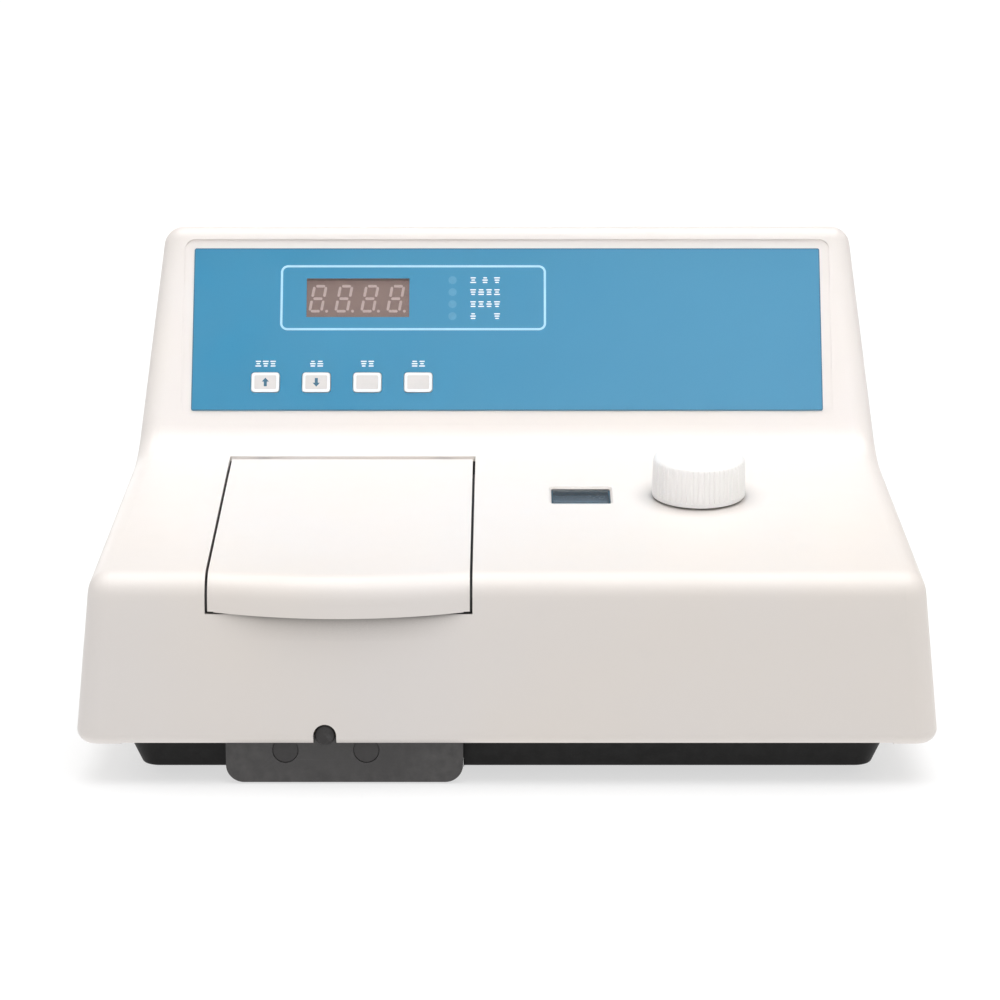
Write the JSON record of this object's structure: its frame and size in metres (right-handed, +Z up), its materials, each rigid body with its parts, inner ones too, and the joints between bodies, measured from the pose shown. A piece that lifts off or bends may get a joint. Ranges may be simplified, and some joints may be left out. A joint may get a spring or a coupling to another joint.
{
  "type": "spectrophotometer",
  "caption": "Bench visible-light spectrophotometer: off-white moulded case, sloping console with blue key panel, hinged sample lid, ribbed wavelength knob and dial window.",
  "frame": {"origin": "on the bench, under the middle of the object's bounding box", "axes": "+X to the user's right, +Y to the back, +Z up; the user is at -Y"},
  "size_m": [0.3828, 0.2972, 0.2161],
  "materials": {
    "casing_shell": "satin moulded, warm off-white",
    "knob_white": "satin moulded white",
    "tray_black": "semi-gloss black paint",
    "compartment_grey": "dark grey, lightly textured",
    "foam_black": "closed-cell foam",
    "foot_rubber": "matt black rubber",
    "screw_dark": "blackened steel",
    "screw_steel": "zinc plated",
    "bracket_steel": "zinc plated",
    "shaft_steel": "ground steel",
    "panel_blue": "printed film, sky blue, satin",
    "display_smoke": "smoked clear film",
    "display_body": "dark brown-grey",
    "display_segment": "unlit translucent pink",
    "lamp_lens": "unlit translucent lens",
    "circuit_board": "green solder mask",
    "component_black": "black moulded",
    "key_cap": "satin, white rim and warm grey centre",
    "bearing_brass": "turned",
    "gear_brass": "cut",
    "dial_blue": "dark blue anodised with white numbers",
    "window_clear": "clear with a black hairline",
    "cast_grey": "painted grey casting",
    "cover_black": "anodised",
    "post_steel": "plated",
    "blackened_metal": "black anodised",
    "mirror_face": "front-silvered glass",
    "grating_face": "ruled, front-silvered",
    "sheet_steel": "folded sheet",
    "lens_glass": "polished",
    "ceramic_white": "unglazed ceramic",
    "bulb_glass": "clear quartz",
    "photodiode_can": "plated can",
    "rack_black": "black anodised",
    "rod_knob_dark": "dark grey moulded",
    "core_steel": "varnished laminations",
    "winding_tape": "yellow tape",
    "rear_plate": "powder coated grey",
    "plug_black": "black moulded",
    "pin_metal": "nickel plated",
    "rocker_black": "black moulded",
    "port_metal": "nickel plated shell"
  },
  "bodies": {
    "chassis": {"casing": "casing_shell", "base_tray": "tray_black", "cell_compartment": "compartment_grey", "compartment_gasket": "foam_black", "rubber_feet": "foot_rubber", "compartment_screws": "screw_dark", "foot_screws": "screw_steel", "casing_screws": "screw_steel", "rear_panel_screws": "screw_steel", "hinge_brackets": "bracket_steel", "hinge_pin": "shaft_steel", "guide_rails": "shaft_steel", "panel_overlay": "panel_blue", "display_window": "display_smoke", "display_module": "display_body", "display_segments": "display_segment", "status_leds": "lamp_lens", "console_board": "circuit_board", "main_board": "circuit_board", "board_components": "component_black", "key_switches": "component_black", "knob_bushing": "bearing_brass", "rod_bushing": "bearing_brass", "dial_window": "window_clear", "monochromator_case": "cast_grey", "monochromator_cover": "cover_black", "monochromator_posts": "post_steel", "slit_plates": "blackened_metal", "mirrors": "mirror_face", "lamp_housing": "sheet_steel", "condenser_lens": "lens_glass", "lamp_socket": "ceramic_white", "halogen_lamp": "bulb_glass", "detector_housing": "blackened_metal", "photodiode": "photodiode_can", "transformer_core": "core_steel", "transformer_winding": "winding_tape", "rear_panel": "rear_plate", "power_inlet": "plug_black", "inlet_pins": "pin_metal", "power_switch_frame": "plug_black", "data_port": "port_metal"},
    "lid": {"lid": "casing_shell"},
    "wavelength_drive": {"wavelength_knob": "knob_white", "knob_shaft": "shaft_steel", "wavelength_dial": "dial_blue", "drive_pinion": "gear_brass"},
    "grating_arm": {"sector_gear": "gear_brass", "grating_axle": "shaft_steel", "grating_table": "blackened_metal", "grating": "grating_face"},
    "cell_changer": {"cell_rack": "rack_black", "cell_holder": "rack_black", "pull_rod": "shaft_steel", "rod_knob": "rod_knob_dark"},
    "key_up": {"key_up": "key_cap"},
    "key_down": {"key_down": "key_cap"},
    "key_print": {"key_print": "key_cap"},
    "key_mode": {"key_mode": "key_cap"},
    "power_rocker": {"power_rocker": "rocker_black"}
  },
  "joints": [
    {"name": "lid_hinge", "type": "hinge", "parent": "chassis", "child": "lid", "pos_m": [-0.0742, 0.02483, 0.10927], "axis": [-1, 0, 0], "range_deg": [0, 95]},
    {"name": "wavelength_turn", "type": "hinge", "parent": "chassis", "child": "wavelength_drive", "pos_m": [0.0894, -0.02905, 0.10768], "axis": [0, -0.1146, 0.9934], "range_deg": [-140, 140]},
    {"name": "grating_turn", "type": "hinge", "parent": "chassis", "child": "grating_arm", "pos_m": [0.0246, -0.02905, 0.10768], "axis": [0, -0.1146, 0.9934], "range_deg": [-17.5, 17.5]},
    {"name": "cell_changer_slide", "type": "slide", "parent": "chassis", "child": "cell_changer", "axis": [0, -1, 0], "range_m": [0, 0.048]},
    {"name": "key_up_press", "type": "slide", "parent": "chassis", "child": "key_up", "axis": [0, 0.8829, -0.4695], "range_m": [0, 0.0006], "stiffness_N_per_m": 2500},
    {"name": "key_down_press", "type": "slide", "parent": "chassis", "child": "key_down", "axis": [0, 0.8829, -0.4695], "range_m": [0, 0.0006], "stiffness_N_per_m": 2500},
    {"name": "key_print_press", "type": "slide", "parent": "chassis", "child": "key_print", "axis": [0, 0.8829, -0.4695], "range_m": [0, 0.0006], "stiffness_N_per_m": 2500},
    {"name": "key_mode_press", "type": "slide", "parent": "chassis", "child": "key_mode", "axis": [0, 0.8829, -0.4695], "range_m": [0, 0.0006], "stiffness_N_per_m": 2500},
    {"name": "power_rock", "type": "hinge", "parent": "chassis", "child": "power_rocker", "pos_m": [-0.112, 0.14031, 0.08393], "axis": [-1, 0, 0], "range_deg": [0, 18]}
  ],
  "couplings": [
    {"joint": "grating_turn", "follows": "wavelength_turn", "ratio": -0.125}
  ]
}
